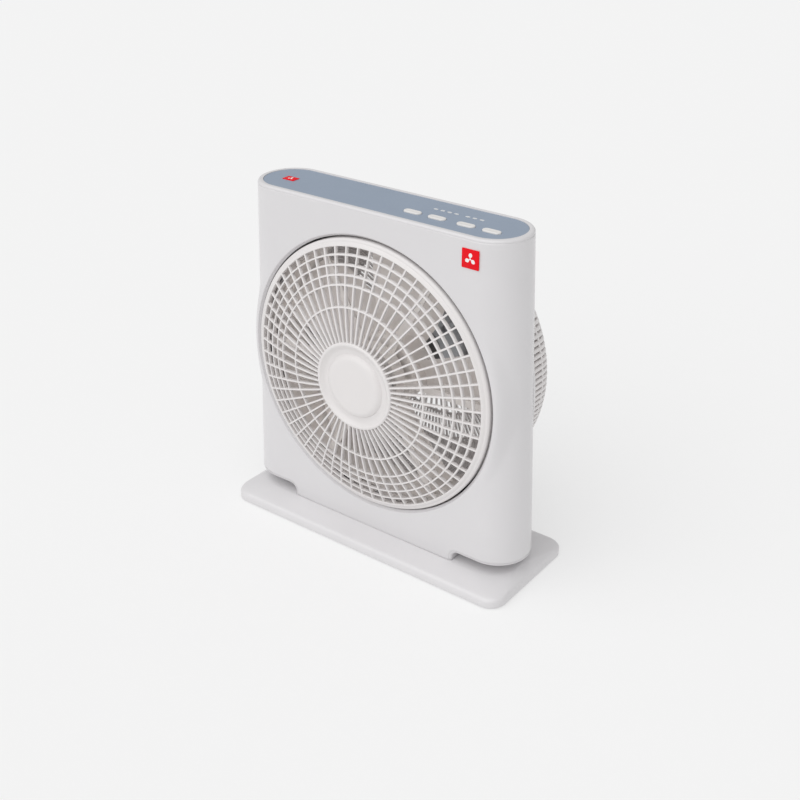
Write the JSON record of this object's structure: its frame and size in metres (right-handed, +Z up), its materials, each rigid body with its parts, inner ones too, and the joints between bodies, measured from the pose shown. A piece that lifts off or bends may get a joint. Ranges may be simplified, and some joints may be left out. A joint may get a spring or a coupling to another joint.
{
  "type": "box fan",
  "caption": "Slim box fan with rounded ends on a flat stand, a domed rotating louvre grille, a deep rear guard and push buttons on top.",
  "frame": {"origin": "on the surface the fan stands on, under the middle of the whole fan in plan; the middle plane of the upright body is 14.6 mm in front of it", "axes": "+X to the right seen from the front, +Y backwards along the fan axis from the louvre grille to the rear guard, +Z up"},
  "size_m": [0.386, 0.1632, 0.4048],
  "materials": {
    "shell_white": "smooth white moulding with a soft gloss",
    "grille_white": "fine satin white moulding",
    "inner_plastic": "plain warm white moulding",
    "blade_plastic": "semi-gloss warm grey moulding",
    "panel_blue": "satin blue-grey panel",
    "badge_red": "smooth printed red plate",
    "button_white": "smooth white key cap",
    "light_lens": "milky clear light pipe",
    "rubber_grey": "soft grey rubber",
    "lead_rubber": "pale cable jacket",
    "screw_steel": "zinc plated",
    "shaft_steel": "ground steel",
    "motor_steel": "plain grey pressed steel",
    "core_steel": "laminated steel",
    "switch_steel": "tinned sheet",
    "copper_wire": "varnished copper wire",
    "bearing_bronze": "sintered bronze",
    "board_green": "solder resist",
    "chip_black": "moulded black epoxy",
    "capacitor_film": "pale film capacitor case",
    "emitter_yellow": "small light emitter"
  },
  "bodies": {
    "housing": {"base_plate": "shell_white", "rubber_feet": "rubber_grey", "base_screws": "screw_steel", "front_shell": "shell_white", "rear_shell": "shell_white", "shell_screws": "screw_steel", "cord_gland": "rubber_grey", "top_panel": "panel_blue", "front_emblem": "badge_red", "top_emblem": "badge_red", "switch_bodies": "switch_steel", "timer_lights": "light_lens", "speed_lights": "light_lens", "light_emitters": "emitter_yellow", "control_board": "board_green", "control_chip": "chip_black", "power_triacs": "chip_black", "run_capacitor": "capacitor_film", "board_tray": "inner_plastic", "tray_screws": "screw_steel", "board_screws": "screw_steel", "louvre_motor": "motor_steel", "louvre_motor_screws": "screw_steel", "front_support": "inner_plastic", "support_screws": "screw_steel", "duct_ring": "inner_plastic", "duct_screws": "screw_steel", "stator_core": "core_steel", "stator_windings": "copper_wire", "front_bearing": "bearing_bronze", "rear_bearing": "bearing_bronze", "motor_front_housing": "motor_steel", "motor_rear_housing": "motor_steel", "housing_screws": "screw_steel", "rear_guard": "grille_white", "guard_screws": "screw_steel", "motor_screws": "screw_steel", "motor_lead": "lead_rubber"},
    "louvre": {"louvre_grille": "grille_white", "hub_cap": "grille_white", "louvre_shaft": "shaft_steel"},
    "fan": {"fan_blades": "blade_plastic", "spinner_nut": "blade_plastic", "motor_shaft": "shaft_steel", "rotor_core": "core_steel", "drive_pin": "shaft_steel"},
    "louvre_key": {"louvre_button": "button_white", "louvre_plunger": "chip_black"},
    "timer_key": {"timer_button": "button_white", "timer_plunger": "chip_black"},
    "speed_key": {"speed_button": "button_white", "speed_plunger": "chip_black"},
    "power_key": {"power_button": "button_white", "power_plunger": "chip_black"}
  },
  "joints": [
    {"name": "fan_spin", "type": "hinge", "parent": "housing", "child": "fan", "pos_m": [0, -0.0076, 0.213], "axis": [0, 1, 0], "continuous": true},
    {"name": "louvre_spin", "type": "hinge", "parent": "housing", "child": "louvre", "pos_m": [0, -0.0596, 0.213], "axis": [0, 1, 0], "continuous": true},
    {"name": "louvre_press", "type": "slide", "parent": "housing", "child": "louvre_key", "axis": [0, 0, -1], "range_m": [0, 0.001], "stiffness_N_per_m": 300, "springref_m": -0.0005},
    {"name": "timer_press", "type": "slide", "parent": "housing", "child": "timer_key", "axis": [0, 0, -1], "range_m": [0, 0.001], "stiffness_N_per_m": 300, "springref_m": -0.0005},
    {"name": "speed_press", "type": "slide", "parent": "housing", "child": "speed_key", "axis": [0, 0, -1], "range_m": [0, 0.001], "stiffness_N_per_m": 300, "springref_m": -0.0005},
    {"name": "power_press", "type": "slide", "parent": "housing", "child": "power_key", "axis": [0, 0, -1], "range_m": [0, 0.001], "stiffness_N_per_m": 300, "springref_m": -0.0005}
  ]
}
